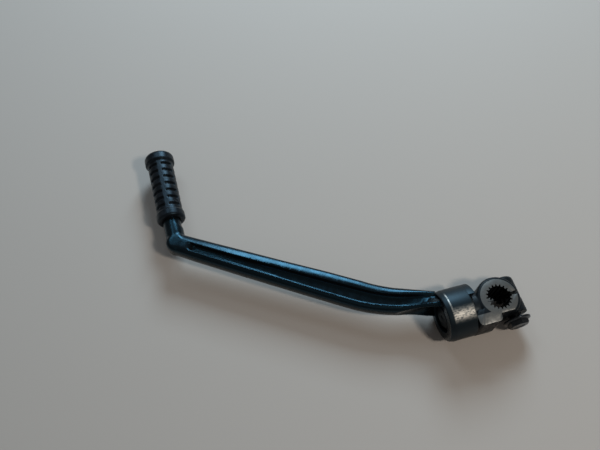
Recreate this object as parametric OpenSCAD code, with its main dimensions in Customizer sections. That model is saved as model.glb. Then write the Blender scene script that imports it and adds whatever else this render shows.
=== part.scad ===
// Folding kick start lever, stowed, in millimetres.
// The spline axis is Z, the pivot axis is X, and they cross at the origin.
// The peg lies along +Y at the far end of the arm.

/* [Boss] */
// Outer diameter of the clamp hub
hub_d = 27.8; // [27:0.2:34]
// Height of the bare machined face above the pivot axis
face_z = 11; // [10:0.5:13]
// Depth of the hub below the pivot axis
hub_drop = 13; // [11:0.5:16]
// Rounding of the hub's forged edges
hub_round = 2.3; // [0.8:0.1:3]
// Reach of the stop foot from the spline axis towards the barrel
foot_reach = 18.5; // [17:0.1:18.7]
// Distance of the foot's outer wall from the pivot axis
foot_side = 15; // [13:0.5:17]
// Distance of the foot's stop face from the pivot axis
foot_inner = 5; // [4:0.5:7]
// End of the foot beside the bolt seat, measured from the spline axis
foot_end = 3.2; // [1:0.2:6]
// Rounding of the foot's upright edges
foot_round = 2.4; // [1:0.2:4]
// Rounding of the foot's upper corner beside the barrel
foot_relief = 4; // [1:0.5:5]

/* [Spline and slit] */
// Number of spline grooves
spline_count = 20; // [16:1:26]
// Diameter over the tips of the spline teeth
spline_tip_d = 14.2; // [13.6:0.1:14.2]
// Depth of each spline groove
spline_depth = 1.2; // [0.6:0.05:1.3]
// Part of the pitch that a groove takes at its mouth
groove_share = 0.58; // [0.4:0.02:0.65]
// Width of the clamp slit
slit_w = 1.8; // [1:0.1:3]

/* [Pinch bolt] */
// Nominal diameter of the pinch bolt
bolt_d = 8; // [7.5:0.5:8]
// Distance of the bolt axis from the spline axis
bolt_x = 10.8; // [10.8:0.1:12]
// Height of the bolt axis relative to the pivot axis
bolt_z = -4.4; // [-6:0.1:-2]
// Diameter of the two clamp lugs
lug_d = 17.2; // [16.8:0.2:20]
// Distance from the slit's middle to the bolt seat
seat_y = 10.5; // [9:0.5:13]
// Distance from the slit's middle to the far lug's end
lug_end_y = 14.5; // [12:0.5:16]
// Rounding of the far lug's end
lug_round = 2.6; // [1:0.2:4]
// Diameter of the bolt's flange
flange_d = 18; // [15:0.1:18.4]
// Thickness of the flange at its rim
flange_rim = 1.2; // [1:0.1:2]
// Height of the flange's cone above the rim
flange_cone = 0.9; // [0.6:0.1:2]
// Width across the flats of the head
hex_af = 12; // [10:0.5:13]
// Height of the hexagon above the flange cone
hex_h = 2.6; // [2:0.2:5]
// Length of the shank under the flange
shank_len = 24.5; // [22:0.5:26]
// Diameter of the shank's waist beside the spline bore
waist_d = 7.1; // [6.4:0.1:7.2]
// Length of the waist from the underside of the flange
waist_len = 16.4; // [16:0.2:18]
// Distance that the bolt is backed off from its seat
bolt_slack = 2.9; // [0.1:0.1:3.2]

/* [Pivot] */
// Diameter of the pivot spindle
spindle_d = 15; // [14:0.2:15.6]
// Diameter of the neck between hub and spindle
neck_d = 20.8; // [20:0.2:21]
// Radial clearance of the barrel on the spindle
run_gap = 0.05; // [0.02:0.01:0.1]
// Clearance between the faces that pass each other
face_gap = 0.3; // [0.2:0.05:0.5]
// Thickness of the thrust washer
washer_t = 1.5; // [1:0.1:2]
// Thickness of the circlip
clip_t = 1; // [0.8:0.1:1.2]
// Depth of the circlip groove
clip_depth = 0.5; // [0.4:0.05:0.8]
// Wire diameter of the spindle seal
seal_wire = 2; // [1.6:0.1:2.2]

/* [Barrel] */
// Outer diameter of the barrel
barrel_d = 33; // [31:0.5:36]
// Distance from the spline axis to the barrel's near end
barrel_start = 19; // [19:0.1:21]
// Length of the barrel
barrel_len = 18; // [17:0.5:24]
// Depth of the recess for washer and circlip
recess_depth = 5; // [4.6:0.1:6]
// Diameter of the recess for washer and circlip
recess_d = 20.4; // [20:0.2:22]
// Chamfer at the barrel's open end
barrel_chamfer = 1.8; // [0.5:0.1:2.5]
// Length of the stop lug beyond the barrel's end
stop_len = 3.5; // [3:0.1:4.2]
// Distance of the stop lug's upper flank from the pivot's middle plane
stop_side = 5.4; // [2:0.1:6]

/* [Arm] */
// Distance from the spline axis to the peg axis
peg_x = 189.6; // [170:0.5:230]
// Distance from the spline axis to the arm's bend
bend_x = 72; // [68:0.5:90]
// Radius of the bend
bend_r = 100; // [60:5:140]
// Angle between the arm and the pivot axis before the bend
root_angle = 17; // [12:0.5:20]
// Angle between the arm and the pivot axis after the bend
arm_angle = 33; // [26:0.5:38]
// Offset of the arm's middle line from the pivot axis inside the barrel
root_y = 7.1; // [6:0.1:8]
// Width of the arm where it leaves the barrel
arm_w_root = 14; // [13:0.2:16]
// Largest width of the arm
arm_w_mid = 16; // [14:0.2:18]
// Width of the arm at the peg
arm_w_peg = 12.6; // [12:0.2:14]
// Thickness of the arm
arm_t = 12.5; // [11:0.1:13]
// Width of each flange of the H section
flange_w = 4; // [3:0.1:5]
// Thickness of the web between the flanges
web_t = 5; // [3:0.1:7]
// Thickness of the near flange where it meets the barrel
root_t = 23; // [18:0.5:25]
// Distance over which the near flange grows towards the barrel
flare_len = 22; // [16:1:24]
// Length of arm left plain before the peg
plain_len = 9; // [7:0.5:14]

/* [Peg and rubber] */
// Diameter of the peg rod
rod_d = 12.2; // [11:0.1:13]
// Diameter of the knuckle where the arm turns into the peg
knuckle_d = 13; // [12.8:0.1:16]
// Rounding of the knuckle's rims
knuckle_round = 3.2; // [2:0.1:4]
// Distance from the knuckle's centre to the rubber
rod_bare = 18; // [12:0.5:24]
// Length of the rubber
rubber_len = 55; // [52:0.5:70]
// Diameter of the rubber between its collars
rubber_d = 18; // [17:0.1:19]
// Diameter of the rubber's inner collar
collar_d = 19.6; // [18:0.1:20]
// Length of the rubber's inner collar
collar_len = 6; // [3:0.1:7]
// Diameter of the rubber's end flange
end_d = 20.8; // [20:0.1:23]
// Length of the rubber's end flange
end_len = 7.5; // [5:0.1:9]
// Number of groove rows along the rubber
row_count = 7; // [5:1:7]
// Distance from one groove row to the next
row_pitch = 5.7; // [5:0.1:5.8]
// Width of a groove in the rubber
row_w = 2; // [1.5:0.1:3]
// Depth of a groove in the rubber
row_depth = 1.3; // [0.6:0.1:1.8]
// Number of smooth strips along the rubber
strip_count = 5; // [3:1:6]
// Angle that a smooth strip takes
strip_angle = 20; // [14:1:34]

/* [Detent] */
// Diameter of the detent ball
ball_d = 5; // [4:0.1:5.4]
// Distance that the ball drops into a pocket
ball_drop = 0.8; // [0.5:0.05:1]
// Depth of the spring hole beyond the spindle's axis
spring_hole = 3.6; // [2:0.1:4.5]
// Wire diameter of the detent spring
spring_wire = 0.5; // [0.4:0.05:0.7]
// Number of turns of the detent spring
spring_turns = 6; // [4:0.5:8]

/* [Hidden] */
$fn = 64;

paint = [0.07, 0.08, 0.09];
bare_steel = [0.62, 0.62, 0.60];
dark_steel = [0.24, 0.25, 0.26];
black_rubber = [0.05, 0.05, 0.05];

// Margin by which a cut runs past the surface that it opens
over = 1;
fit_gap = 0.03;

hub_r = hub_d / 2;
tip_r = spline_tip_d / 2;
root_r = tip_r + spline_depth;
bolt_r = bolt_d / 2;
bolt_hole_r = bolt_r + 0.3;
lug_r = lug_d / 2;

spindle_r = spindle_d / 2;
bore_r = spindle_r + run_gap;
neck_r = neck_d / 2;
barrel_r = barrel_d / 2;
barrel_end = barrel_start + barrel_len;
recess_x = barrel_end - recess_depth;
recess_r = recess_d / 2;
neck_end = barrel_start - face_gap;

washer_x = recess_x + run_gap;
washer_r = recess_r - 0.4;
clip_x = washer_x + washer_t + run_gap;
clip_inner_r = spindle_r - clip_depth;
clip_r = spindle_r + 1.4;
ear_r = 1.25;
clip_slot = 5;
spindle_end = clip_x + clip_t + 1.6;
spindle_chamfer = 0.8;

seal_r = bore_r + seal_wire / 2;
seal_pocket_r = bore_r + seal_wire + fit_gap;
seal_pocket = seal_wire + 0.5;
seal_x = barrel_start + seal_pocket / 2;

stop_inner_r = neck_r + 0.4;
stop_floor = foot_inner - 0.2;

detent_x = (barrel_start + seal_pocket + recess_x) / 2;
ball_r = ball_d / 2;
ball_z = -(bore_r - ball_r - fit_gap);
pocket_r = ball_r + 0.2;
ball_hole_r = ball_r + 0.08;
spring_r = ball_r - spring_wire - 0.1;
spring_low = ball_z + sqrt(ball_r * ball_r - spring_r * spring_r) + spring_wire / 2;
spring_high = spring_hole - spring_wire / 2 - 0.05;

arm_root_x = (barrel_start + barrel_end) / 2;
root_face = (barrel_end - arm_root_x) / cos(root_angle);
bend_turn = arm_angle - root_angle;
bend_y = root_y + (bend_x - arm_root_x) * tan(root_angle);
bend_tangent = bend_r * tan(bend_turn / 2);
root_run = (bend_x - arm_root_x) / cos(root_angle) - bend_tangent;
bend_run = bend_r * bend_turn * PI / 180;
outer_run = (peg_x - bend_x) / cos(arm_angle) - bend_tangent;
arm_run = root_run + bend_run + outer_run;
peg_y = bend_y + (peg_x - bend_x) * tan(arm_angle);
knuckle_r = knuckle_d / 2;

rod_r = rod_d / 2;
rubber_start = peg_y + rod_bare;
rubber_end = rubber_start + rubber_len;
rubber_cap = 4.5;
rod_end = rubber_end - rubber_cap;
rubber_hole_r = rod_r + fit_gap;

// Heading of the arm's middle line at a distance s from its root
function heading(s) =
    s < root_run ? root_angle
    : s < root_run + bend_run ? root_angle + (s - root_run) / bend_r * 180 / PI
    : arm_angle;

// Direction along the arm, and the one across it on the peg's side
function along(angle) = [-cos(angle), sin(angle)];
function across(angle) = [sin(angle), cos(angle)];

// Plan position of the arm's middle line at a distance s from its root
function arm_point(s) =
    let (root = [-arm_root_x, root_y],
         bend_start = root + root_run * along(root_angle),
         centre = bend_start + bend_r * across(root_angle))
    s < root_run ? root + s * along(root_angle)
    : s < root_run + bend_run ? centre - bend_r * across(heading(s))
    : [-peg_x, peg_y] - (arm_run - s) * along(arm_angle);

function smooth(t) = let (u = min(1, max(0, t))) u * u * (3 - 2 * u);

// Half width of the arm at a distance s from its root
function half_width(s) =
    lookup(s, [[0, arm_w_root], [root_run + bend_run, arm_w_mid], [arm_run, arm_w_peg]]) / 2;

// Depth of the recess on each face, which runs out before the peg and the barrel
function recess_at(s) =
    let (full = (arm_t - web_t) / 2)
    full * smooth((arm_run - plain_len - s) / (plain_len / 2))
        * smooth(1.2 * (s - root_face) / flare_len - 0.2);

// Half height of the near flange, which grows towards the barrel's rim
function near_height(s) =
    arm_t / 2 + (root_t - arm_t) / 2 * smooth(1 - (s - root_face) / flare_len);

// Crowned outline of a flange, from the arm's side to the edge of the recess
crown_power = 3;
crown_steps = 6;
function crown(width, edge, height) =
    let (last = acos(pow(edge / width, crown_power / 2)))
    [for (i = [0:crown_steps])
        let (a = last * i / crown_steps)
        [width * pow(cos(a), 2 / crown_power), height * pow(sin(a), 2 / crown_power)]];

// Upper half of the H section as points [across, up], whose web rises to the near
// flange beside the barrel
wall_slope = 0.5;
ramp_len = flare_len / 2;
function upper_section(s) =
    let (w = half_width(s),
         edge = w - flange_w,
         far = crown(w, edge, arm_t / 2),
         near = crown(w, edge, near_height(s)),
         depth = recess_at(s),
         far_floor = far[crown_steps][1] - depth,
         rise = smooth(1 - (s - root_face) / ramp_len),
         near_floor = far_floor + (near[crown_steps][1] - far_floor) * rise)
    concat(far,
           [[edge - wall_slope, far_floor], [wall_slope - edge, near_floor]],
           [for (i = [crown_steps:-1:0]) [-near[i][0], near[i][1]]]);

function section(s) =
    let (top = upper_section(s), last = len(top) - 1)
    concat(top, [for (i = [last - 1:-1:1]) [top[i][0], -top[i][1]]]);

function placed_section(s) =
    let (p = arm_point(s), n = across(heading(s)))
    [for (q = section(s)) [p[0] + q[0] * n[0], p[1] + q[0] * n[1], q[1]]];

// Distances along the arm at which its section is drawn
bend_steps = 10;
flare_steps = 6;
runout_steps = 5;
stations = concat(
    [0],
    [for (i = [0:flare_steps]) root_face + flare_len * i / flare_steps],
    [for (i = [0:bend_steps])
        let (s = root_run + bend_run * i / bend_steps)
        if (s > root_face + flare_len + 0.5) s],
    [for (i = [0:runout_steps]) arm_run - plain_len * (1.5 - 0.5 * i / runout_steps)],
    [arm_run]);

// Loft through closed rings of points that all have the same count
module loft(rings) {
    count = len(rings[0]);
    last = len(rings) - 1;
    points = [for (ring = rings) each ring];
    sides = [for (i = [0:last - 1]) for (j = [0:count - 1])
        let (k = (j + 1) % count)
        each [[i * count + j, i * count + k, (i + 1) * count + k],
              [i * count + j, (i + 1) * count + k, (i + 1) * count + j]]];
    start_cap = [[for (j = [count - 1:-1:0]) j]];
    end_cap = [[for (j = [0:count - 1]) last * count + j]];
    polyhedron(points, concat(sides, start_cap, end_cap));
}

// Turned body with rounded rims, standing on Z from low to high
module rounded_disc(r, low, high, low_round, high_round) {
    rotate_extrude() {
        translate([0, low + low_round])
            square([r, high - low - low_round - high_round]);
        translate([0, low])
            square([r - low_round, low_round + over / 2]);
        translate([0, high - high_round - over / 2])
            square([r - high_round, high_round + over / 2]);
        if (low_round > 0)
            intersection() {
                translate([r - low_round, low + low_round]) circle(low_round);
                translate([0, low]) square([r, low_round]);
            }
        if (high_round > 0)
            intersection() {
                translate([r - high_round, high - high_round]) circle(high_round);
                translate([0, high - high_round]) square([r, high_round]);
            }
    }
}

// Cylinder along the pivot axis between two distances on the arm's side
module pivot_bar(r, from, to, r2 = undef) {
    translate([-from, 0, 0])
        rotate([0, -90, 0])
            cylinder(h = to - from, r1 = r, r2 = is_undef(r2) ? r : r2);
}

// Cylinder along the bolt axis between two positions across the slit
module bolt_bar(r, from, to) {
    translate([bolt_x, from, bolt_z])
        rotate([-90, 0, 0])
            cylinder(h = to - from, r = r);
}

// What lies outside a rounded corner, whose sides run along +X and +Y before the turn
module corner_cut(x, y, r, turn) {
    translate([x, y])
        rotate(turn)
            difference() {
                translate([-over, -over]) square(r + over);
                translate([r, r]) circle(r);
            }
}

// Grooves between the spline teeth, which leave round lands at the tips
module spline_cut() {
    height = face_z + hub_drop + 2 * over;
    mouth = 2 * PI * tip_r / spline_count * groove_share;
    floor_w = mouth / 2;
    translate([0, 0, -hub_drop - over]) {
        cylinder(h = height, r = tip_r);
        for (i = [0:spline_count - 1])
            rotate([0, 0, (i + 0.5) * 360 / spline_count])
                linear_extrude(height)
                    polygon([[tip_r - over, -mouth / 2], [tip_r, -mouth / 2],
                             [root_r, -floor_w / 2], [root_r, floor_w / 2],
                             [tip_r, mouth / 2], [tip_r - over, mouth / 2]]);
    }
}

// Foot whose inner wall stops the arm when it is folded out
module stop_foot() {
    intersection() {
        union() {
            translate([0, 0, -hub_drop])
                linear_extrude(face_z + hub_drop)
                    difference() {
                        translate([-foot_reach, -foot_side])
                            square([foot_reach - foot_end, foot_side - foot_inner]);
                        corner_cut(-foot_reach, -foot_side, foot_round, 0);
                        corner_cut(-foot_end, -foot_side, foot_round, 90);
                        corner_cut(-foot_reach, -foot_inner, foot_relief, -90);
                    }
            translate([-foot_reach, -foot_inner - foot_relief, -hub_drop])
                cube([foot_relief, foot_relief, hub_drop - stop_side + over]);
        }
        pivot_bar(norm([foot_side, face_z]), foot_end - over, foot_reach + over);
    }
}

module clamp_lugs() {
    translate([bolt_x, 0, bolt_z])
        rotate([-90, 0, 0])
            rounded_disc(lug_r, -seat_y, lug_end_y, 0, lug_round);
}

module spindle() {
    pivot_bar(neck_r, 0, neck_end);
    difference() {
        union() {
            pivot_bar(spindle_r, neck_end - over, spindle_end - spindle_chamfer);
            pivot_bar(spindle_r, spindle_end - spindle_chamfer, spindle_end,
                      spindle_r - spindle_chamfer);
        }
        difference() {
            pivot_bar(spindle_r + over, clip_x - fit_gap, clip_x + clip_t + fit_gap);
            pivot_bar(clip_inner_r, clip_x - over, clip_x + clip_t + over);
        }
        translate([-detent_x, 0, -spindle_r - over])
            cylinder(h = spindle_r + over + spring_hole, r = ball_hole_r);
    }
}

module boss() {
    color(paint)
        difference() {
            union() {
                rounded_disc(hub_r, -hub_drop, face_z, hub_round / 2, hub_round);
                stop_foot();
                clamp_lugs();
                spindle();
            }
            spline_cut();
            translate([0, -slit_w / 2, -hub_drop - over])
                cube([bolt_x + lug_r + over, slit_w, face_z + hub_drop + 2 * over]);
            translate([-foot_end, -foot_side - hub_r, -hub_drop - over])
                cube([bolt_x + lug_d, foot_side + hub_r - seat_y,
                      face_z + hub_drop + 2 * over]);
            bolt_bar(bolt_hole_r, -seat_y - over, 0);
            bolt_bar(bolt_r + fit_gap, 0, lug_end_y + over);
        }
}

module barrel() {
    pivot_bar(barrel_r - barrel_chamfer / 2, barrel_start,
              barrel_start + barrel_chamfer / 2, barrel_r);
    pivot_bar(barrel_r, barrel_start + barrel_chamfer / 2, barrel_end - barrel_chamfer);
    pivot_bar(barrel_r, barrel_end - barrel_chamfer, barrel_end, barrel_r - barrel_chamfer);
    stop_lug();
}

// Sector beyond the barrel's end that meets the foot when the arm is out
module stop_lug() {
    intersection() {
        difference() {
            pivot_bar(barrel_r - barrel_chamfer / 2, barrel_start - stop_len,
                      barrel_start + over);
            pivot_bar(stop_inner_r, barrel_start - stop_len - over, barrel_start);
        }
        translate([-barrel_start - over, stop_side, -stop_floor])
            cube([stop_len + 2 * over, barrel_r, barrel_r + stop_floor]);
    }
}

module arm() {
    color(paint)
        difference() {
            union() {
                barrel();
                loft([for (s = stations) placed_section(s)]);
                translate([-peg_x, peg_y, 0])
                    rounded_disc(knuckle_r, -arm_t / 2, arm_t / 2, knuckle_round, knuckle_round);
                translate([-peg_x, peg_y, 0])
                    rotate([-90, 0, 0])
                        cylinder(h = rod_end - peg_y, r = rod_r);
            }
            pivot_bar(bore_r, barrel_start - stop_len - over, barrel_end + over);
            pivot_bar(recess_r, recess_x, bend_x);
            pivot_bar(seal_pocket_r, barrel_start - over, barrel_start + seal_pocket);
            for (turn = [0, 90])
                rotate([turn, 0, 0])
                    translate([-detent_x, 0, ball_z - ball_drop])
                        sphere(pocket_r);
        }
}

module peg_rubber() {
    row_start = rubber_start + collar_len
        + (rubber_len - collar_len - end_len - (row_count - 1) * row_pitch) / 2;
    color(black_rubber)
        difference() {
            union() {
                translate([-peg_x, 0, 0])
                    rotate([-90, 0, 0]) {
                        rounded_disc(collar_d / 2, rubber_start,
                                     rubber_start + collar_len, 1.8, 0.8);
                        rounded_disc(rubber_d / 2, rubber_start + 1, rubber_end - 1, 0, 0);
                        rounded_disc(end_d / 2, rubber_end - end_len, rubber_end, 1, 2.8);
                    }
            }
            translate([-peg_x, rubber_start - over, 0])
                rotate([-90, 0, 0])
                    cylinder(h = rod_end - rubber_start + over + fit_gap, r = rubber_hole_r);
            for (row = [0:row_count - 1], strip = [0:strip_count - 1])
                translate([-peg_x, row_start + row * row_pitch, 0])
                    rotate([-90, 0, 0])
                        rotate([0, 0, strip * 360 / strip_count + strip_angle / 2 - 90])
                            rotate_extrude(angle = 360 / strip_count - strip_angle)
                                translate([rubber_d / 2 - row_depth, -row_w / 2])
                                    square([row_depth + over, row_w]);
        }
}

// Hexagon flange bolt, drawn with its seat at the origin and its head down
module pinch_bolt() {
    head_z = flange_rim + flange_cone;
    hex_r = hex_af / sqrt(3);
    color(dark_steel)
        translate([bolt_x, -seat_y - bolt_slack, bolt_z])
            rotate([-90, 0, 0]) {
                translate([0, 0, -flange_rim])
                    cylinder(h = flange_rim, r = flange_d / 2);
                translate([0, 0, -head_z])
                    cylinder(h = flange_cone, r1 = hex_af / 2, r2 = flange_d / 2);
                intersection() {
                    translate([0, 0, -head_z - hex_h])
                        cylinder(h = head_z + hex_h, r = hex_r, $fn = 6);
                    translate([0, 0, -head_z - hex_h])
                        cylinder(h = head_z + hex_h, r1 = hex_af / 2 - 0.2,
                                 r2 = hex_af / 2 - 0.2 + head_z + hex_h);
                }
                cylinder(h = waist_len + over, r = waist_d / 2);
                translate([0, 0, waist_len])
                    cylinder(h = shank_len - 1 - waist_len, r = bolt_r);
                translate([0, 0, shank_len - 1])
                    cylinder(h = 1, r1 = bolt_r, r2 = bolt_r - 1);
            }
}

module thrust_washer() {
    color(bare_steel)
        difference() {
            pivot_bar(washer_r, washer_x, washer_x + washer_t);
            pivot_bar(bore_r, washer_x - over, washer_x + washer_t + over);
        }
}

// External retaining ring with two eared ends
module circlip() {
    ear_centre = clip_r + ear_r / 3;
    ear_swing = asin((clip_slot / 2 + ear_r) / ear_centre);
    color(dark_steel)
        translate([-clip_x, 0, 0])
            rotate([0, -90, 0])
                linear_extrude(clip_t)
                    difference() {
                        union() {
                            circle(clip_r);
                            for (side = [-1, 1])
                                rotate([0, 0, side * ear_swing])
                                    translate([ear_centre - ear_r / 2, 0]) circle(ear_r);
                        }
                        circle(clip_inner_r + fit_gap);
                        translate([0, -clip_slot / 2]) square([clip_r + 2 * ear_r, clip_slot]);
                        for (side = [-1, 1])
                            rotate([0, 0, side * ear_swing])
                                translate([ear_centre - ear_r / 2, 0]) circle(ear_r * 0.45);
                    }
}

module spindle_seal() {
    color(black_rubber)
        translate([-seal_x, 0, 0])
            rotate([0, -90, 0])
                rotate_extrude()
                    translate([seal_r, 0]) circle(seal_wire / 2 - fit_gap / 2, $fn = 24);
}

module detent_ball() {
    color(bare_steel)
        translate([-detent_x, 0, ball_z]) sphere(ball_r);
}

module detent_spring() {
    steps = 14 * spring_turns;
    sides = 6;
    rise = spring_high - spring_low;
    color(dark_steel)
        translate([-detent_x, 0, spring_low])
            loft([for (i = [0:steps])
                let (turn = 360 * spring_turns * i / steps)
                [for (k = [0:sides - 1])
                    let (a = 360 * k / sides, r = spring_r + spring_wire / 2 * cos(a))
                    [r * cos(turn), r * sin(turn),
                     rise * i / steps + spring_wire / 2 * sin(a)]]]);
}

boss();
arm();
peg_rubber();
pinch_bolt();
thrust_washer();
circlip();
spindle_seal();
detent_ball();
detent_spring();
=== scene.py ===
import math

import bmesh
import bpy
from bpy.props import FloatProperty, FloatVectorProperty, IntProperty, PointerProperty
from mathutils import Matrix, Vector


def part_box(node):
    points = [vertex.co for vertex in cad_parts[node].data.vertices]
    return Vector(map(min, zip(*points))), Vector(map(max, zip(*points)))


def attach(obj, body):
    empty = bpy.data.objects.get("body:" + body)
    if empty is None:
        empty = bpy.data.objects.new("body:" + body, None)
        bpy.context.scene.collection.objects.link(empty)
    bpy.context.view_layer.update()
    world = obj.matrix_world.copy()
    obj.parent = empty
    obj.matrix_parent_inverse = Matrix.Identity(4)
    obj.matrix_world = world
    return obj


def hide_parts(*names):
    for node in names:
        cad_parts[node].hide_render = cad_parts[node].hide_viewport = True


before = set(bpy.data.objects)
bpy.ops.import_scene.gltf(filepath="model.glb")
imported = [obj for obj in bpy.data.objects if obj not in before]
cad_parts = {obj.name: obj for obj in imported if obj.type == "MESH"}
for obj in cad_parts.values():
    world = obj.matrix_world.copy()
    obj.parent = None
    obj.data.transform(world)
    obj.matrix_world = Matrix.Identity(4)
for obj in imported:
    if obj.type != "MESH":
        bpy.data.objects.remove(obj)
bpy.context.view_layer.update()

bl_info = {
    "name": "Kick start lever",
    "version": (1, 0, 0),
    "blender": (4, 5, 0),
    "location": "View3D > Sidebar > Lever",
    "description": "Dresses a folding kick start lever around its packed frame",
    "category": "Object",
}

MM = 0.001

# Heights that the frame gives
FACE_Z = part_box("boss")[1].z
FLOOR_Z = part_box("arm")[0].z

# Spline and slit, in millimetres, as in the part's source
SPLINE_COUNT = 20
SPLINE_TIP_R = 7.1
SPLINE_ROOT_R = 8.3
GROOVE_MOUTH = 0.58
GROOVE_FLOOR = 0.25
SLIT_W = 1.8
HUB_LOW = -13.0
PLUG_R = 9.4

# Pinch bolt, in millimetres
BOLT_X = 10.8
BOLT_Z = -4.4
SEAT_Y = -10.5
LUG_END_Y = 14.5
BOLT_SLACK = 2.9
BOLT_HOLE_R = 4.3
THREAD_HOLE_R = 4.03
WAIST_R = 3.55
WAIST_LEN = 16.4
SHANK_LEN = 24.5
THREAD_R = 4.0
HEX_AF = 12.0

# Pivot and barrel, as distances from the spline axis in millimetres
NECK_END = 18.7
SPINDLE_R = 7.5
SPINDLE_END = 36.2
CLIP_START = 33.57
CLIP_END = 34.63
CLIP_GROOVE_R = 7.0
DETENT_X = 26.75
DETENT_HOLE_R = 2.58
SPRING_HOLE = 3.6
BALL_Z = (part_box("detent_ball")[0].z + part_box("detent_ball")[1].z) / 2 / MM
BALL_DROP = 0.8
POCKET_R = 2.7
BARREL_START = 19.0
BARREL_END = 37.0
BARREL_R = 16.5
BARREL_CHAMFER = 1.8
BORE_R = 7.6
SEAL_R = 9.6
SEAL_END = 21.5
RECESS_R = 10.2
RECESS_START = 32.0
RIM_START = 33.5
RIM_R = 15.8
STOP_START = 15.5
STOP_INNER_R = 10.8
STOP_SIDE = 5.4
# 0.4 mm less than the solid's, which clears the boss's fillet when the arm is folded
STOP_FLOOR = 4.4

# Middle line of the arm, in millimetres and degrees
BEND_CENTRE = (-29.32, 112.07)
BEND_R = 100.0
ROOT_ANGLE = 17.0
ARM_ANGLE = 33.0

# How much wider the forging is than the solid on its far and near sides, and how far
# the far flange's inner edge moves inwards, as (distance from the spline axis, width)
# in millimetres
FAR_GROWTH = ((38, 0.0), (56, 1.4), (68, 2.0), (80, 2.3), (100, 2.3), (125, 1.7),
              (150, 1.4), (165, 1.2), (183, 1.1), (190, 0.0))
NEAR_GROWTH = ((46, 0.0), (68, 0.5), (84, 0.9), (100, 1.2), (150, 1.3), (180, 1.1),
               (192, 0.6), (197, 0.0))
EDGE_GROWTH = ((60, 0.0), (80, 0.3), (100, 0.7), (120, 0.9), (155, 1.2), (178, 0.9),
               (188, 0.0))
GROWTH_START = 36
GROWTH_END = 197

# Rise of the far flange towards the barrel, as a share and in millimetres
RISE = 0.36
RISE_START = 64
RISE_LEN = 27

# Places of the barrel's dull paint and of its bare steel band and rim line, in metres on the
# part. The band and the rim line are partly rubbed steel and partly a painted highlight, put
# where the lamps' highlights fall on the barrel's top and rim
DULL_START = (-0.0369, -0.0363)
BAND_NEAR = (-0.0105, -0.0072)
BAND_FAR = (0.0002, -0.0042)
RIM_LINE_NEAR = (-0.0105, -0.0060)
RIM_LINE_FAR = (0.0115, 0.0085)
RIM_LINE_OUTER = (-0.0341, -0.0337)
RIM_LINE_INNER = (-0.0328, -0.0332)

# Directions that turned pieces are made along
PIVOT = Matrix.Rotation(math.radians(-90), 4, "Y")
BOLT = (Matrix.Translation(Vector((BOLT_X, SEAT_Y - BOLT_SLACK, BOLT_Z)) * MM)
        @ Matrix.Rotation(math.radians(-90), 4, "X"))


class LeverSizes(bpy.types.PropertyGroup):
    """Sizes of the forged, moulded and cut surfaces."""

    arm_voxel: FloatProperty(
        name="Arm grain", description="Mesh size of the arm's forged skin",
        default=0.00046, min=0.00045, max=0.001, precision=5, unit="LENGTH")
    arm_rounds: IntProperty(
        name="Arm fillets", description="Smoothing rounds that fillet the arm",
        default=12, min=1, max=30)
    boss_voxel: FloatProperty(
        name="Boss grain", description="Mesh size of the boss's forged skin",
        default=0.0004, min=0.0003, max=0.001, precision=5, unit="LENGTH")
    boss_rounds: IntProperty(
        name="Boss fillets", description="Smoothing rounds that fillet the boss",
        default=12, min=1, max=30)
    face_cut: FloatProperty(
        name="Face cut", description="Depth that the machined face is cut into the forging",
        default=0.00015, min=0.00005, max=0.0005, precision=5, unit="LENGTH")
    rubber_voxel: FloatProperty(
        name="Rubber grain", description="Mesh size of the moulded rubber",
        default=0.00034, min=0.0003, max=0.001, precision=5, unit="LENGTH")
    rubber_rounds: IntProperty(
        name="Rubber fillets", description="Smoothing rounds that round the rubber's pockets",
        default=4, min=1, max=12)
    thread_pitch: FloatProperty(
        name="Thread pitch", description="Distance between the pinch bolt's threads",
        default=0.00125, min=0.001, max=0.0015, precision=5, unit="LENGTH")
    thread_turns: IntProperty(
        name="Thread turns", description="Turns of thread on the pinch bolt",
        default=6, min=3, max=6)


class LeverColours(bpy.types.PropertyGroup):
    """Colours of the finishes."""

    paint: FloatVectorProperty(
        name="Paint", description="Black paint of the forgings",
        default=(0.004, 0.0045, 0.005), min=0, max=1, subtype="COLOR")
    # Bare steel colour of the barrel's band and rim line, which are partly rubbed steel and
    # partly a painted highlight
    rub_and_painted_highlight: FloatVectorProperty(
        name="Worn steel", description="Steel where the barrel's paint is rubbed away",
        default=(0.30, 0.29, 0.27), min=0, max=1, subtype="COLOR")
    # Painted reflection: a set blue tint that stands in for blue window light, so the arm's
    # paint reflects blue under any lamp
    painted_blue_reflection: FloatVectorProperty(
        name="Sheen", description="Tint of the reflections in the arm's paint",
        default=(0.18, 0.66, 1.0), min=0, max=1, subtype="COLOR")
    # Painted reflection: a set pale blue tint that stands in for blue window light in the
    # barrel's dull paint
    barrel_painted_reflection: FloatVectorProperty(
        name="Barrel sheen", description="Tint of the reflections in the barrel's dull paint",
        default=(0.50, 0.80, 1.0), min=0, max=1, subtype="COLOR")
    lug: FloatVectorProperty(
        name="Boss paint", description="Dull blue-grey paint of the clamp boss",
        default=(0.007, 0.009, 0.011), min=0, max=1, subtype="COLOR")
    steel: FloatVectorProperty(
        name="Bare steel", description="Machined steel of the boss's face",
        default=(0.155, 0.155, 0.15), min=0, max=1, subtype="COLOR")
    bolt: FloatVectorProperty(
        name="Bolt steel", description="Dark plating of the pinch bolt",
        default=(0.040, 0.045, 0.052), min=0, max=1, subtype="COLOR")
    rubber: FloatVectorProperty(
        name="Rubber", description="Black moulded rubber of the sleeve",
        default=(0.006, 0.0065, 0.008), min=0, max=1, subtype="COLOR")
    floor: FloatVectorProperty(
        name="Floor", description="Plain pale floor",
        default=(0.50, 0.455, 0.42), min=0, max=1, subtype="COLOR")


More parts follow.
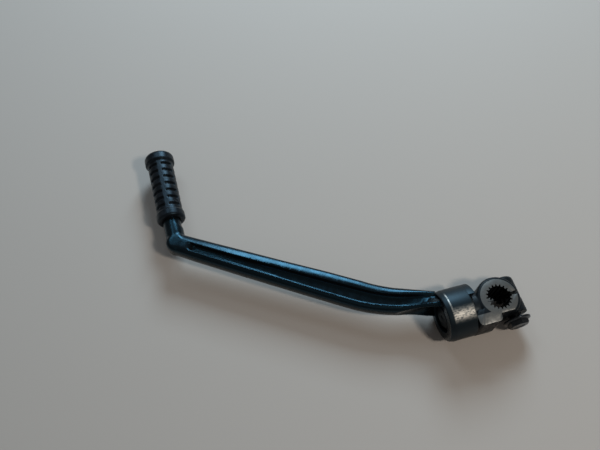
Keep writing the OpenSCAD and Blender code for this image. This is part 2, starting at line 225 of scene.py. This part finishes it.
class LeverLight(bpy.types.PropertyGroup):
    """Light and camera of the stage."""

    world: FloatProperty(
        name="Room light", description="Strength of the even light all round",
        default=0.09, min=0, max=2)
    key: FloatProperty(
        name="Key light", description="Power of the cool light behind the lever",
        default=7.6, min=0, max=20, subtype="POWER")
    sky: FloatProperty(
        name="Sky light", description="Power of the broad soft light over the peg",
        default=1.2, min=0, max=20, subtype="POWER")
    fill: FloatProperty(
        name="Fill light", description="Power of the soft light in front of the lever",
        default=0.2, min=0, max=20, subtype="POWER")
    top: FloatProperty(
        name="Top light", description="Power of the small warm light over the boss",
        default=3.3, min=0, max=20, subtype="POWER")
    tilt: FloatProperty(
        name="Camera tilt", description="Angle of the camera's view from straight down",
        default=math.radians(27.5), subtype="ANGLE")
    swing: FloatProperty(
        name="Camera swing", description="Angle of the camera's view round the vertical",
        default=math.radians(-15.8), subtype="ANGLE")
    lens: FloatProperty(
        name="Lens", description="Focal length of the camera, in millimetres",
        default=35.4, min=20, max=200, subtype="DISTANCE_CAMERA")


class Finish:
    """A procedural material on Object coordinates, built by short calls."""

    def __init__(self, name, **sockets):
        self.material = bpy.data.materials.new(name)
        self.material.use_nodes = True
        self.tree = self.material.node_tree
        self.shader = self.tree.nodes["Principled BSDF"]
        for socket, value in sockets.items():
            self.put(self.shader.inputs[socket.replace("_", " ")], value)
        self.position = self.add("ShaderNodeTexCoord").outputs["Object"]
        split = self.add("ShaderNodeSeparateXYZ", {0: self.position})
        self.x, self.y, self.z = split.outputs

    def put(self, socket, value):
        if isinstance(value, bpy.types.NodeSocket):
            self.tree.links.new(value, socket)
        else:
            socket.default_value = value

    def add(self, kind, inputs=None, **settings):
        node = self.tree.nodes.new(kind)
        for name, value in settings.items():
            setattr(node, name, value)
        for key, value in (inputs or {}).items():
            self.put(node.inputs[key], value)
        return node

    def noise(self, grain, detail=3.0, stretch=(1, 1, 1)):
        """Noise between 0 and 1 whose grains are about that many millimetres across."""
        scale = [1 / (grain * MM * part) for part in stretch]
        place = self.add("ShaderNodeMapping", {"Vector": self.position, "Scale": scale})
        return self.add("ShaderNodeTexNoise",
                        {"Vector": place.outputs[0], "Scale": 1.0, "Detail": detail}).outputs[0]

    def ramp(self, value, low, high, start=0.0, end=1.0):
        """The value's way from low to high, as a smooth step between two results."""
        return self.add("ShaderNodeMapRange",
                        {"Value": value, "From Min": low, "From Max": high,
                         "To Min": start, "To Max": end},
                        interpolation_type="SMOOTHSTEP").outputs[0]

    def maths(self, operation, first, second=0.0):
        return self.add("ShaderNodeMath", {0: first, 1: second},
                        operation=operation).outputs[0]

    def distance(self, first, second):
        """Distance from a line, given the two coordinates across it."""
        flat = self.add("ShaderNodeCombineXYZ", {0: first, 1: second}).outputs[0]
        return self.add("ShaderNodeVectorMath", {0: flat}, operation="LENGTH").outputs["Value"]

    def mix(self, factor, first, second):
        node = self.add("ShaderNodeMix", {0: factor}, data_type="RGBA")
        self.put(node.inputs[6], first)
        self.put(node.inputs[7], second)
        return node.outputs[2]

    def bump(self, height, depth):
        """Relief of that many millimetres between heights 0 and 1."""
        node = self.add("ShaderNodeBump", {"Height": height, "Distance": depth * MM})
        self.put(self.shader.inputs["Normal"], node.outputs[0])


def rgba(colour, gain=1.0):
    return (*[part * gain for part in colour], 1.0)


def arm_finish(colours):
    """Gloss black paint, dull on the barrel, with bare steel on the barrel's top and rim that is
    partly rubbed steel and partly a painted highlight, and with a painted blue tint in its
    reflections.
    """
    made = Finish("arm_paint", Specular_IOR_Level=0.4)
    cloud = made.noise(9.0, 4.0)
    edge = made.maths("ADD", made.x, made.maths("MULTIPLY", cloud, 0.0006))
    barrel = made.ramp(edge, *DULL_START)
    round_part = made.ramp(made.x, *RIM_LINE_OUTER)
    # Bare steel band along the barrel's top and a line round its rim, on the upper half only:
    # partly rubbed steel, partly a painted highlight where the lamps' highlights fall
    band_rub_and_painted_highlight = made.maths("MULTIPLY", made.ramp(made.y, *BAND_NEAR), made.ramp(made.y, *BAND_FAR))
    band_rub_and_painted_highlight = made.maths("MULTIPLY", band_rub_and_painted_highlight, made.ramp(made.z, 0.004, 0.010))
    band_rub_and_painted_highlight = made.maths("MULTIPLY", band_rub_and_painted_highlight, round_part)
    rim = made.maths("MULTIPLY", round_part, made.ramp(made.x, *RIM_LINE_INNER))
    rim = made.maths("MULTIPLY", rim, made.maths(
        "MULTIPLY", made.ramp(made.y, *RIM_LINE_NEAR), made.ramp(made.y, *RIM_LINE_FAR)))
    rim = made.maths("MULTIPLY", rim, made.ramp(made.z, 0.0, 0.001))
    rub_and_painted_highlight = made.maths("MULTIPLY", made.maths("MAXIMUM", band_rub_and_painted_highlight, rim), barrel)
    speckle = made.ramp(made.noise(0.9, 5.0, (2, 1, 1)), 0.36, 0.56, 0.35, 1.0)
    rub_and_painted_highlight = made.maths("MULTIPLY", rub_and_painted_highlight, speckle)
    paint = made.mix(cloud, rgba(colours.paint, 0.8), rgba(colours.paint, 1.5))
    made.put(made.shader.inputs["Base Color"], made.mix(rub_and_painted_highlight, paint, rgba(colours.rub_and_painted_highlight)))
    made.put(made.shader.inputs["Metallic"], rub_and_painted_highlight)
    # Painted reflection: set blue tints colour the reflections of the arm's and the barrel's
    # paint
    made.put(made.shader.inputs["Specular Tint"],
             made.mix(barrel, rgba(colours.painted_blue_reflection), rgba(colours.barrel_painted_reflection)))
    gloss = made.ramp(made.noise(3.5, 4.0), 0.3, 0.7, 0.2, 0.3)
    made.put(made.shader.inputs["Roughness"],
             made.maths("MAXIMUM", gloss, made.maths("MULTIPLY", barrel, 0.47)))
    made.bump(made.noise(1.1, 3.0), 0.015)
    return made.material


def boss_finish(colours, face):
    """Dull dark paint, with the top face machined bare."""
    # Painted reflection: the Specular Tint is a set pale blue that colours the boss's
    # reflections
    made = Finish("boss_paint", Specular_IOR_Level=0.15, Specular_Tint=(0.75, 0.9, 1.0, 1.0))
    cloud = made.noise(5.0, 4.0)
    ring = made.ramp(made.distance(made.x, made.y), 0.0119, 0.0117)
    foot = made.maths("MINIMUM", made.ramp(made.y, -0.0078, -0.0082),
                      made.ramp(made.x, -0.0020, -0.0024))
    bare = made.maths("MULTIPLY", made.maths("MAXIMUM", ring, foot),
                      made.ramp(made.z, face - 0.00006, face - 0.00002))
    stain = made.ramp(made.noise(3.0, 6.0), 0.35, 0.7)
    steel = made.mix(stain, rgba(colours.steel), rgba(colours.steel, 0.72))
    paint = made.mix(cloud, rgba(colours.lug, 0.7), rgba(colours.lug, 1.5))
    made.put(made.shader.inputs["Base Color"], made.mix(bare, paint, steel))
    made.put(made.shader.inputs["Metallic"], made.maths("MULTIPLY", bare, 0.75))
    made.put(made.shader.inputs["Roughness"], made.ramp(stain, 0, 1, 0.38, 0.52))
    rings = made.maths("SINE", made.maths("MULTIPLY", made.distance(made.x, made.y), 9000.0))
    marks = made.maths("MULTIPLY", bare, made.ramp(rings, -1, 1, 0.0, 0.4))
    grain = made.maths("MULTIPLY", made.noise(0.7, 3.0), 0.8)
    made.bump(made.maths("ADD", marks, grain), 0.03)
    return made.material


def rubber_finish(colours):
    """Moulded rubber, a little dull where dust lies in its pores."""
    # Painted reflection: the Specular Tint is a set blue that colours the rubber's reflections
    made = Finish("peg_rubber", Specular_IOR_Level=0.32, Specular_Tint=(0.40, 0.68, 0.90, 1.0))
    dust = made.ramp(made.noise(4.0, 5.0), 0.42, 0.75)
    made.put(made.shader.inputs["Base Color"],
             made.mix(dust, rgba(colours.rubber), rgba(colours.rubber, 2.0)))
    made.put(made.shader.inputs["Roughness"], made.ramp(dust, 0, 1, 0.33, 0.44))
    made.bump(made.noise(0.5, 3.0), 0.025)
    return made.material


def steel_finish(name, colour, roughness, grain=1.2):
    """Steel with a light stain and fine marks."""
    made = Finish(name, Metallic=0.85)
    stain = made.noise(grain * 2, 5.0)
    made.put(made.shader.inputs["Base Color"],
             made.mix(stain, rgba(colour, 0.7), rgba(colour, 1.25)))
    made.put(made.shader.inputs["Roughness"],
             made.ramp(stain, 0.3, 0.7, roughness, roughness + 0.14))
    made.bump(made.noise(grain / 4, 2.0), 0.01)
    return made.material


def solid(bm, name="tool"):
    """Object of a mesh, at the origin."""
    mesh = bpy.data.meshes.new(name)
    bm.to_mesh(mesh)
    bm.free()
    made = bpy.data.objects.new(name, mesh)
    bpy.context.scene.collection.objects.link(made)
    return made


def block(low, high):
    """Box between two corners in millimetres."""
    low, high = Vector(low) * MM, Vector(high) * MM
    place = Matrix.Translation((low + high) / 2) @ Matrix.Diagonal((*(high - low), 1.0))
    bm = bmesh.new()
    bmesh.ops.create_cube(bm, size=1.0, matrix=place)
    return solid(bm)


def bar(radius, start, end, sides=96):
    """Cylinder between two points in millimetres."""
    start, end = Vector(start) * MM, Vector(end) * MM
    line = end - start
    turn = line.to_track_quat("Z", "Y").to_matrix().to_4x4()
    place = Matrix.Translation((start + end) / 2) @ turn
    bm = bmesh.new()
    bmesh.ops.create_cone(bm, cap_ends=True, segments=sides, radius1=radius * MM,
                          radius2=radius * MM, depth=line.length, matrix=place)
    return solid(bm)


def turned(outline, place, rounding=0.0, steps=160, name="tool"):
    """Body turned from (along, radius) corners in millimetres, with rounded corners."""
    bm = bmesh.new()
    corners = [bm.verts.new((radius * MM, 0, along * MM)) for along, radius in outline]
    bm.faces.new(corners)
    if rounding:
        bmesh.ops.bevel(bm, geom=[v for v in corners if v.co.x > 0], offset=rounding * MM,
                        offset_type="OFFSET", segments=3, profile=0.5, affect="VERTICES",
                        clamp_overlap=True, material=-1)
    bmesh.ops.delete(bm, geom=bm.faces[:], context="FACES_ONLY")
    bmesh.ops.spin(bm, geom=bm.verts[:] + bm.edges[:], cent=(0, 0, 0), axis=(0, 0, 1),
                   dvec=(0, 0, 0), angle=math.tau, steps=steps, use_merge=True,
                   use_duplicate=False)
    bmesh.ops.remove_doubles(bm, verts=bm.verts[:], dist=1e-7)
    bmesh.ops.transform(bm, matrix=place, verts=bm.verts[:])
    bmesh.ops.recalc_face_normals(bm, faces=bm.faces[:])
    return solid(bm, name)


def spline_tool(low, high):
    """Prism of the bore, with a groove between each pair of spline teeth."""
    half_mouth, half_floor = GROOVE_MOUTH / 2, GROOVE_FLOOR / 2
    tooth = ((0.0, SPLINE_TIP_R), (0.5 - half_mouth, SPLINE_TIP_R),
             (0.5 - half_floor, SPLINE_ROOT_R), (0.5 + half_floor, SPLINE_ROOT_R),
             (0.5 + half_mouth, SPLINE_TIP_R))
    bm = bmesh.new()
    bmesh.ops.create_circle(bm, cap_ends=True, segments=len(tooth) * SPLINE_COUNT, radius=1.0)
    ring = sorted(bm.verts, key=lambda v: math.atan2(v.co.y, v.co.x) % math.tau)
    for count, vert in enumerate(ring):
        number, corner = divmod(count, len(tooth))
        angle = math.tau * (number + tooth[corner][0]) / SPLINE_COUNT
        radius = tooth[corner][1] * MM
        vert.co = (radius * math.cos(angle), radius * math.sin(angle), low)
    grown = bmesh.ops.extrude_face_region(bm, geom=bm.faces[:])["geom"]
    bmesh.ops.translate(bm, verts=[v for v in grown if isinstance(v, bmesh.types.BMVert)],
                        vec=(0, 0, high - low))
    bmesh.ops.recalc_face_normals(bm, faces=bm.faces[:])
    return solid(bm)


def copy_of(node, name):
    """Merged copy of a CAD node's mesh."""
    bm = bmesh.new()
    bm.from_mesh(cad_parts[node].data)
    bmesh.ops.remove_doubles(bm, verts=bm.verts[:], dist=1e-6)
    bmesh.ops.recalc_face_normals(bm, faces=bm.faces[:])
    return solid(bm, name)


def smooth(value):
    """Smooth step from 0 to 1."""
    value = min(max(value, 0.0), 1.0)
    return value * value * (3 - 2 * value)


def between(table, place):
    """Value at a place in a table of (place, value) rows, which is 0 outside it."""
    for (low, first), (high, second) in zip(table, table[1:]):
        if low <= place <= high:
            return first + (second - first) * (place - low) / (high - low)
    return 0.0


def settle(obj):
    """Keep the shape that the object's modifiers give, without the modifiers."""
    shape = obj.evaluated_get(bpy.context.evaluated_depsgraph_get())
    mesh = bpy.data.meshes.new_from_object(shape)
    obj.modifiers.clear()
    obj.data = mesh


def soften(obj, voxel, rounds):
    """Close the mesh over with voxels and smooth it, which leaves a forging's fillets."""
    skin = obj.modifiers.new("Skin", "REMESH")
    skin.mode = "VOXEL"
    skin.voxel_size = voxel
    fillets = obj.modifiers.new("Fillets", "SMOOTH")
    fillets.factor = 0.5
    fillets.iterations = rounds
    settle(obj)


def cut(obj, tool, operation="DIFFERENCE"):
    """Cut the tool out of the object, and put the tool away."""
    before = len(obj.data.vertices)
    step = obj.modifiers.new("Cut", "BOOLEAN")
    step.operation = operation
    step.solver = "MANIFOLD"
    step.object = tool
    settle(obj)
    bpy.data.objects.remove(tool)
    if len(obj.data.vertices) in (0, before):
        raise RuntimeError(f"a cut left {obj.name} with {before} points unchanged or with none")


def trim(obj, point, normal):
    """Cut away what lies beyond a plane and close the cut with a flat face."""
    bm = bmesh.new()
    bm.from_mesh(obj.data)
    edge = bmesh.ops.bisect_plane(bm, geom=bm.verts[:] + bm.edges[:] + bm.faces[:], dist=1e-7,
                                  plane_co=point, plane_no=normal, clear_outer=True)
    rim = [e for e in edge["geom_cut"] if isinstance(e, bmesh.types.BMEdge)]
    bmesh.ops.triangle_fill(bm, edges=rim, use_beauty=True, use_dissolve=False, normal=normal)
    bm.to_mesh(obj.data)
    bm.free()


def join(obj, *others):
    """Take the others' meshes into the object."""
    bm = bmesh.new()
    for part in (obj, *others):
        bm.from_mesh(part.data)
    bm.to_mesh(obj.data)
    bm.free()
    for part in others:
        bpy.data.objects.remove(part)


def finished(obj, body, material, node=None, crease=32):
    """Shade the piece, give it its material and tie it to its body."""
    obj.data.materials.clear()
    obj.data.materials.append(material)
    obj.data.polygons.foreach_set("material_index", [0] * len(obj.data.polygons))
    obj.data.shade_smooth()
    obj.data.set_sharp_from_angle(angle=math.radians(crease))
    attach(obj, body)
    if node:
        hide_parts(node)


class LEVER_OT_boss(bpy.types.Operator):
    """Forged clamp boss: machined face, splined bore, slit, bolt seat and pivot spindle"""

    bl_idname = "lever.boss"
    bl_label = "Boss"

    def execute(self, context):
        sizes = context.scene.lever_sizes
        face = FACE_Z - sizes.face_cut
        high = FACE_Z / MM
        boss = copy_of("boss", "boss_forging")
        trim(boss, (-(NECK_END - 0.05) * MM, 0, 0), (-1, 0, 0))
        join(boss, bar(PLUG_R, (0, 0, HUB_LOW), (0, 0, high)))
        soften(boss, sizes.boss_voxel, sizes.boss_rounds)
        cut(boss, block((-30, -30, face / MM), (30, 30, high + 2)))
        cut(boss, spline_tool((HUB_LOW - 1) * MM, (high + 1) * MM))
        cut(boss, block((0, -SLIT_W / 2, HUB_LOW - 1), (24, SLIT_W / 2, high + 1)))
        cut(boss, bar(BOLT_HOLE_R, (BOLT_X, SEAT_Y - 3, BOLT_Z), (BOLT_X, 0, BOLT_Z)))
        cut(boss, bar(THREAD_HOLE_R, (BOLT_X, -0.5, BOLT_Z), (BOLT_X, LUG_END_Y + 2, BOLT_Z)))
        spindle = turned(
            ((NECK_END - 2, 0), (NECK_END - 2, SPINDLE_R), (CLIP_START, SPINDLE_R),
             (CLIP_START, CLIP_GROOVE_R), (CLIP_END, CLIP_GROOVE_R), (CLIP_END, SPINDLE_R),
             (SPINDLE_END - 0.8, SPINDLE_R), (SPINDLE_END, SPINDLE_R - 0.8),
             (SPINDLE_END, 1.7), (SPINDLE_END - 1.4, 0)), PIVOT, 0.12)
        cut(spindle, bar(DETENT_HOLE_R, (-DETENT_X, 0, -SPINDLE_R - 1),
                         (-DETENT_X, 0, SPRING_HOLE)))
        join(boss, spindle)
        finished(boss, "hub", boss_finish(context.scene.lever_colours, face), "boss")
        return {"FINISHED"}


class LEVER_OT_arm(bpy.types.Operator):
    """Forged arm and peg, with the barrel's turned surfaces"""

    bl_idname = "lever.arm"
    bl_label = "Arm"

    def execute(self, context):
        sizes = context.scene.lever_sizes
        arm = copy_of("arm", "arm_forging")
        soften(arm, sizes.arm_voxel, sizes.arm_rounds)
        for vert in arm.data.vertices:
            self.grow(vert.co)
            self.tuck(vert.co)
        cut(arm, bar(BARREL_R + 1, (-BARREL_END + 0.6, 0, 0), (-STOP_START + 1, 0, 0)))
        half = BARREL_CHAMFER / 2
        barrel = turned(
            ((BARREL_START, SEAL_R), (BARREL_START, BARREL_R - half),
             (BARREL_START + half, BARREL_R), (RIM_START, BARREL_R),
             (BARREL_END - 0.5, RIM_R), (BARREL_END, RIM_R - 0.5), (BARREL_END, RECESS_R),
             (RECESS_START, RECESS_R), (RECESS_START, BORE_R), (SEAL_END, BORE_R),
             (SEAL_END, SEAL_R)), PIVOT, 0.25)
        for turn in (0, 90):
            cut(barrel, self.pocket(turn))
        stop = turned(((STOP_START, STOP_INNER_R), (STOP_START, BARREL_R - 0.1),
                       (BARREL_START + 1.5, BARREL_R - 0.1), (BARREL_START + 1.5, STOP_INNER_R)),
                      PIVOT, 0.2)
        cut(stop, block((-BARREL_START - 3, STOP_SIDE, -STOP_FLOOR), (0, 30, 30)), "INTERSECT")
        join(arm, barrel, stop)
        finished(arm, "lever_arm", arm_finish(context.scene.lever_colours), "arm")
        return {"FINISHED"}

    def pocket(self, turn):
        """Round pocket that the detent ball drops into, at that turn of the arm in degrees."""
        bm = bmesh.new()
        place = (Matrix.Rotation(math.radians(turn), 4, "X")
                 @ Matrix.Translation(Vector((-DETENT_X, 0, BALL_Z - BALL_DROP)) * MM))
        bmesh.ops.create_uvsphere(bm, u_segments=32, v_segments=16, radius=POCKET_R * MM,
                                  matrix=place)
        return solid(bm)

    def grow(self, place):
        """Move a point of the arm away from its middle line and raise the far flange's root."""
        reach = -place.x / MM
        far, near, edge = (between(table, reach)
                           for table in (FAR_GROWTH, NEAR_GROWTH, EDGE_GROWTH))
        if not GROWTH_START < reach < GROWTH_END:
            return
        to_centre = Vector(BEND_CENTRE) * MM - place.xy
        heading = math.atan2(to_centre.x, to_centre.y)
        heading = min(max(heading, math.radians(ROOT_ANGLE)), math.radians(ARM_ANGLE))
        side = Vector((math.sin(heading), math.cos(heading)))
        offset = BEND_R - to_centre.dot(side) / MM
        if offset > 0:
            shift = far * smooth((offset - 3.5) / 4.0)
            shift *= 1 - smooth((offset - 11) / 3)
            shift -= edge * smooth((offset - 0.8) / 1.6) * (1 - smooth((offset - 4.2) / 2.5))
        else:
            shift = -near * smooth((-offset - 0.5) / 2.5)
        place.xy += side * shift * MM
        rise = RISE * smooth((RISE_START - reach) / RISE_LEN)
        place.z *= 1 + rise * smooth((offset - 1.5) / 4.0)

    def tuck(self, place):
        """Draw the forging's barrel end inside the turned barrel's end."""
        radius = math.hypot(place.y, place.z)
        if radius > (BARREL_R + 0.3) * MM or place.x < -(BARREL_END + 1.2) * MM:
            return
        along = -place.x / MM
        place.x += 0.3 * MM * smooth(BARREL_END + 1.2 - along)
        if RECESS_START < along < BARREL_END + 0.05:
            radius = min(max(radius, (RECESS_R + 0.4) * MM), (RIM_R - 0.6) * MM)
            place.yz *= radius / math.hypot(place.y, place.z)


class LEVER_OT_rubber(bpy.types.Operator):
    """Moulded rubber sleeve with rows of rounded pockets"""

    bl_idname = "lever.rubber"
    bl_label = "Rubber"

    def execute(self, context):
        sizes = context.scene.lever_sizes
        rubber = copy_of("peg_rubber", "rubber_sleeve")
        soften(rubber, sizes.rubber_voxel, sizes.rubber_rounds)
        finished(rubber, "lever_arm",
                 rubber_finish(context.scene.lever_colours), "peg_rubber", crease=60)
        return {"FINISHED"}


class LEVER_OT_bolt(bpy.types.Operator):
    """Pinch bolt with a flanged hexagon head, a waist and a thread"""

    bl_idname = "lever.bolt"
    bl_label = "Pinch bolt"

    def execute(self, context):
        sizes = context.scene.lever_sizes
        head_low, head_high = -4.7, -1.2
        flange_r = 9.0
        bolt = turned(
            ((-2.1, 0), (-2.1, HEX_AF / 2), (head_high, flange_r), (0, flange_r), (0, WAIST_R),
             (WAIST_LEN, WAIST_R), (WAIST_LEN + 0.6, 3.3), (SHANK_LEN - 0.8, 3.3),
             (SHANK_LEN, 2.7), (SHANK_LEN, 0)), BOLT, 0.35, name="flange_bolt")
        corner_r = HEX_AF / math.sqrt(3)
        hexagon = bar(corner_r, (0, 0, head_low), (0, 0, -1), sides=6)
        hexagon.data.transform(BOLT)
        chamfer = turned(((head_low, 0), (head_low, HEX_AF / 2 - 0.1), (0, HEX_AF / 2 + 4.5),
                          (0, 0)), BOLT)
        cut(hexagon, chamfer, "INTERSECT")
        dish = turned(((head_low - 1, 0), (head_low - 1, 4.0), (head_low + 0.1, 3.8),
                       (head_low + 0.35, 3.2), (head_low + 0.35, 0)), BOLT)
        cut(hexagon, dish)
        join(bolt, hexagon, self.thread(sizes))
        colours = context.scene.lever_colours
        finished(bolt, "hub", steel_finish("bolt_steel", colours.bolt, 0.26),
                 "pinch_bolt", crease=28)
        return {"FINISHED"}

    def thread(self, sizes):
        """Helical ridge of the thread, swept by a spin that moves along as it turns."""
        pitch = sizes.thread_pitch
        start = (WAIST_LEN + 0.4) * MM
        steps = 36
        bm = bmesh.new()
        ridge = [bm.verts.new(place) for place in
                 ((3.2 * MM, 0, start), (THREAD_R * MM, 0, start + pitch * 0.44),
                  (THREAD_R * MM, 0, start + pitch * 0.56), (3.2 * MM, 0, start + pitch))]
        bm.faces.new(ridge)
        bmesh.ops.delete(bm, geom=bm.faces[:], context="FACES_ONLY")
        bmesh.ops.spin(bm, geom=bm.verts[:] + bm.edges[:], cent=(0, 0, 0), axis=(0, 0, 1),
                       dvec=(0, 0, pitch / steps), angle=math.tau * (sizes.thread_turns - 1),
                       steps=steps * (sizes.thread_turns - 1), use_duplicate=False)
        bmesh.ops.holes_fill(bm, edges=[e for e in bm.edges if e.is_boundary], sides=0)
        bmesh.ops.transform(bm, matrix=BOLT, verts=bm.verts[:])
        bmesh.ops.recalc_face_normals(bm, faces=bm.faces[:])
        return solid(bm)


class LEVER_OT_small_parts(bpy.types.Operator):
    """Finishes of the washer, circlip, seal, ball and spring, whose shapes stay the frame's"""

    bl_idname = "lever.small_parts"
    bl_label = "Small parts"

    def execute(self, context):
        colours = context.scene.lever_colours
        bright = steel_finish("bright_steel", colours.steel, 0.22)
        spring = steel_finish("spring_steel", (0.04, 0.04, 0.045), 0.3, 0.6)
        seal = rubber_finish(colours)
        seal.name = "seal_rubber"
        for node, material in (("thrust_washer", bright), ("detent_ball", bright),
                               ("circlip", spring), ("detent_spring", spring),
                               ("spindle_seal", seal)):
            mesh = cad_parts[node].data
            mesh.materials.clear()
            mesh.materials.append(material)
        return {"FINISHED"}


class LEVER_OT_stage(bpy.types.Operator):
    """Plain floor, soft lights and the camera at the photograph's angle"""

    bl_idname = "lever.stage"
    bl_label = "Stage"

    def execute(self, context):
        light = context.scene.lever_light
        floor_bm = bmesh.new()
        bmesh.ops.create_grid(floor_bm, x_segments=1, y_segments=1, size=3.0,
                              matrix=Matrix.Translation((0, 0, FLOOR_Z)))
        floor = solid(floor_bm, "floor")
        finish = Finish("floor", Roughness=0.9, Specular_IOR_Level=0.1)
        finish.put(finish.shader.inputs["Base Color"], rgba(context.scene.lever_colours.floor))
        floor.data.materials.append(finish.material)
        self.world(context.scene, light)
        centre = Vector((-0.095, 0.06, 0.0))
        self.lamp("key", light.key, 0.38, (0.66, 0.86, 1.0), (0.21, 0.81, 0.565), centre)
        self.lamp("sky", light.sky, 0.3, (0.72, 0.88, 1.0), (-0.29, 0.74, 0.79), centre)
        self.lamp("fill", light.fill, 0.6, (1.0, 0.97, 0.93), (-0.45, -0.7, 0.9), centre)
        self.lamp("top", light.top, 0.12, (1.0, 0.92, 0.82), (0.305, -0.40, 0.854), centre)
        camera_data = bpy.data.cameras.new("camera")
        camera_data.lens = light.lens
        camera_data.sensor_width = 36.0
        camera_data.clip_start = 0.01
        camera = bpy.data.objects.new("camera", camera_data)
        camera.location = (-0.1562, -0.0923, 0.3605)
        camera.rotation_euler = (light.tilt, 0, light.swing)
        context.scene.collection.objects.link(camera)
        context.scene.camera = camera
        context.scene.view_settings.view_transform = "Standard"
        return {"FINISHED"}

    def lamp(self, name, power, size, colour, place, target):
        data = bpy.data.lights.new(name, "AREA")
        data.energy = power
        data.size = size
        data.color = colour
        lamp = bpy.data.objects.new(name, data)
        lamp.location = place
        lamp.rotation_euler = (Vector(place) - target).to_track_quat("Z", "Y").to_euler()
        bpy.context.scene.collection.objects.link(lamp)

    def world(self, scene, light):
        """Even light all round, which the camera sees as plain white."""
        world = bpy.data.worlds.new("room")
        world.use_nodes = True
        tree = world.node_tree
        back = tree.nodes["Background"]
        back.inputs["Color"].default_value = (1.0, 1.0, 1.0, 1.0)
        back.inputs["Strength"].default_value = light.world
        seen = tree.nodes.new("ShaderNodeBackground")
        seen.inputs["Strength"].default_value = 0.95
        rays = tree.nodes.new("ShaderNodeLightPath")
        mix = tree.nodes.new("ShaderNodeMixShader")
        tree.links.new(rays.outputs["Is Camera Ray"], mix.inputs[0])
        tree.links.new(back.outputs[0], mix.inputs[1])
        tree.links.new(seen.outputs[0], mix.inputs[2])
        tree.links.new(mix.outputs[0], tree.nodes["World Output"].inputs["Surface"])
        seen.inputs["Color"].default_value = (1.0, 1.0, 1.0, 1.0)
        scene.world = world


class LEVER_PT_panel(bpy.types.Panel):
    """Sizes, colours and light, and the steps that use them"""

    bl_idname = "LEVER_PT_panel"
    bl_label = "Kick start lever"
    bl_space_type = "VIEW_3D"
    bl_region_type = "UI"
    bl_category = "Lever"

    def draw(self, context):
        for group in (context.scene.lever_sizes, context.scene.lever_colours,
                      context.scene.lever_light):
            box = self.layout.box()
            for name in group.__annotations__:
                box.prop(group, name)
        for operator in OPERATORS:
            self.layout.operator(operator.bl_idname)


GROUPS = (LeverSizes, LeverColours, LeverLight)
OPERATORS = (LEVER_OT_boss, LEVER_OT_arm, LEVER_OT_rubber, LEVER_OT_bolt,
             LEVER_OT_small_parts, LEVER_OT_stage)


def register():
    for group in (*GROUPS, *OPERATORS, LEVER_PT_panel):
        bpy.utils.register_class(group)
    bpy.types.Scene.lever_sizes = PointerProperty(type=LeverSizes)
    bpy.types.Scene.lever_colours = PointerProperty(type=LeverColours)
    bpy.types.Scene.lever_light = PointerProperty(type=LeverLight)


def unregister():
    del bpy.types.Scene.lever_light
    del bpy.types.Scene.lever_colours
    del bpy.types.Scene.lever_sizes
    for group in reversed((*GROUPS, *OPERATORS, LEVER_PT_panel)):
        bpy.utils.unregister_class(group)


def main():
    register()
    bpy.ops.lever.boss()
    bpy.ops.lever.arm()
    bpy.ops.lever.rubber()
    bpy.ops.lever.bolt()
    bpy.ops.lever.small_parts()
    bpy.ops.lever.stage()


if __name__ == "__main__":
    main()
